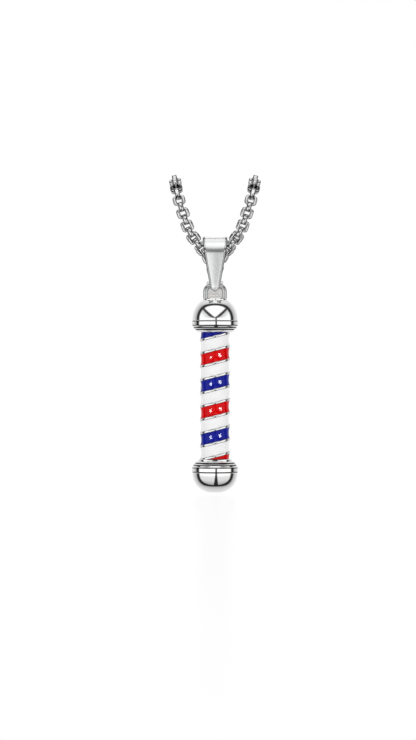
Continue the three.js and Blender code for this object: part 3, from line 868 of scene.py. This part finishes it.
class Sums:
    """Short names for the math nodes of one tree."""

    def __init__(self, tree):
        self.tree = tree

    def do(self, operation, *values):
        node = self.tree.nodes.new("ShaderNodeMath")
        node.operation = operation
        for socket, value in zip(node.inputs, values):
            if isinstance(value, (int, float)):
                socket.default_value = value
            else:
                self.tree.links.new(value, socket)
        return node.outputs[0]

    def step(self, value, start, end):
        """0 below start, 1 above end, smooth between."""
        node = self.tree.nodes.new("ShaderNodeMapRange")
        node.interpolation_type = "SMOOTHSTEP"
        node.inputs["From Min"].default_value = start
        node.inputs["From Max"].default_value = end
        self.tree.links.new(value, node.inputs["Value"])
        return node.outputs["Result"]

    def inverse(self, value):
        return self.do("SUBTRACT", 1.0, value)


# The tent's parts are placed by sideways and v, the sideways and upward slopes of a mirror that would send
# the front view that way. Pairs are where a soft step starts and ends.
SEAM_PLACE, SEAM_HALF, SEAM_SPREAD, SEAM_SOFTNESS, SEAM_TOP = 0.05, 0.034, 0.12, 0.015, (0.04, 0.09)
RIDGE_START, RIDGE_LEAN, RIDGE_CURVE, RIDGE_EDGE, RIDGE_FOOT = 0.03, 1.1, 0.85, (0.04, 0.17), (0.0, 0.06)
SHADE, SHADE_START, SHADE_END = 0.42, (-0.02, 0.02), (0.05, 0.6)
OPENING_Y, OPENING_ARCH, OPENING_RIM, OPENING_STEP = 0.12, 0.36, (0.1, 0.26), (-0.05, 0.05)
ROOM, ROOM_BACK, ROOM_BACK_STEP, ROOM_ROOF, ROOM_ROOF_STEP = 0.5, 0.5, (0.1, 0.7), 0.3, (0.5, 0.95)
FRONT, FRONT_DIMMER, FRONT_STEPS = 1.5, 0.45, [(0.06, 0.25), (0.3, 0.7)]
DARKEST = 0.96


def tent_seam(sums, sideways, v, below):
    """The narrow gap between the two front panels, a little wider towards the floor."""
    half = sums.do("ADD", sums.do("MULTIPLY", below, SEAM_SPREAD), SEAM_HALF)
    away = sums.do("ABSOLUTE", sums.do("SUBTRACT", sideways, SEAM_PLACE))
    seam = sums.inverse(sums.step(sums.do("SUBTRACT", away, half), -SEAM_SOFTNESS, SEAM_SOFTNESS))
    return sums.do("MULTIPLY", seam, sums.inverse(sums.step(v, *SEAM_TOP)))


def tent_ridge(sums, sideways, v):
    """The two gaps that lean out between the front panels and the ceiling, with some shade beside each."""
    climb = sums.do("MAXIMUM", sums.do("SUBTRACT", v, RIDGE_START), 0.0)
    lean = sums.do("MULTIPLY", sums.do("POWER", climb, RIDGE_CURVE), RIDGE_LEAN)
    beside = sums.do("SUBTRACT", sums.do("ABSOLUTE", sideways), lean)
    ridge = sums.inverse(sums.step(sums.do("ABSOLUTE", beside), *RIDGE_EDGE))
    shade = sums.inverse(sums.step(beside, *SHADE_END))
    shade = sums.do("MULTIPLY", shade, sums.step(beside, *SHADE_START))
    ridge = sums.do("MAXIMUM", ridge, sums.do("MULTIPLY", shade, SHADE))
    return sums.do("MULTIPLY", ridge, sums.step(v, *RIDGE_FOOT))


def past_opening(sums, y, z):
    """Below 0 inside the tent, 0 along the arched edge of its opening, and above 0 in the room behind."""
    arch = sums.do("MULTIPLY", sums.do("POWER", sums.do("ABSOLUTE", z), 4.0), OPENING_ARCH)
    return sums.do("ADD", sums.do("SUBTRACT", y, OPENING_Y), arch)


def room_light(sums, past, z):
    """The pale room, brighter straight behind the part and overhead."""
    room = sums.do("ADD", ROOM, sums.do("MULTIPLY", sums.step(past, *ROOM_BACK_STEP), ROOM_BACK))
    return sums.do("ADD", room, sums.do("MULTIPLY", sums.step(z, *ROOM_ROOF_STEP), ROOM_ROOF))


def front_light(sums, below):
    """The front panels, dimmer in two steps towards the floor."""
    front = FRONT
    for pair in FRONT_STEPS:
        front = sums.do("SUBTRACT", front, sums.do("MULTIPLY", sums.step(below, *pair), FRONT_DIMMER))
    return front


def make_light_tent():
    """A white tent round the part: two front panels and a ceiling panel that meet in narrow dark seams,
    a dark frame where the tent opens at the sides, and a pale room behind. The camera sees plain white."""
    world = bpy.data.worlds.new("tent")
    bpy.context.scene.world = world
    world.use_nodes = True
    tree = world.node_tree
    sums = Sums(tree)
    coords = tree.nodes.new("ShaderNodeTexCoord")
    parts = tree.nodes.new("ShaderNodeSeparateXYZ")
    tree.links.new(coords.outputs["Generated"], parts.inputs[0])
    x, y, z = parts.outputs
    spread_out = sums.do("MAXIMUM", sums.do("SUBTRACT", 1.0, y), 0.02)
    sideways = sums.do("DIVIDE", x, spread_out)
    v = sums.do("DIVIDE", z, spread_out)
    below = sums.do("MAXIMUM", sums.do("MULTIPLY", v, -1.0), 0.0)
    past = past_opening(sums, y, z)
    behind = sums.step(past, *OPENING_STEP)
    inside = sums.inverse(behind)
    dark = sums.do("MAXIMUM", tent_seam(sums, sideways, v, below), tent_ridge(sums, sideways, v))
    rim = sums.inverse(sums.step(sums.do("ABSOLUTE", past), *OPENING_RIM))
    dark = sums.do("MAXIMUM", sums.do("MULTIPLY", dark, inside), rim)
    room = sums.do("MULTIPLY", room_light(sums, past, z), behind)
    lit = sums.do("ADD", room, sums.do("MULTIPLY", front_light(sums, below), inside))
    level = sums.do("MULTIPLY", lit, sums.inverse(sums.do("MULTIPLY", dark, DARKEST)))
    seen = tree.nodes.new("ShaderNodeLightPath").outputs["Is Camera Ray"]
    shown = sums.do("ADD", seen, sums.do("MULTIPLY", level, sums.inverse(seen)))
    tree.links.new(shown, tree.nodes["Background"].inputs["Strength"])
    tree.nodes["Background"].inputs["Color"].default_value = (1, 1, 1, 1)


make_floor()
make_light_tent()
make_lamp("lamp_left", -36, -2, 0.2, 8.5)
make_lamp("lamp_right", 42, 0, 0.21, 10.5)
bpy.context.scene.view_settings.view_transform = "Standard"
bpy.context.scene.view_settings.look = "None"
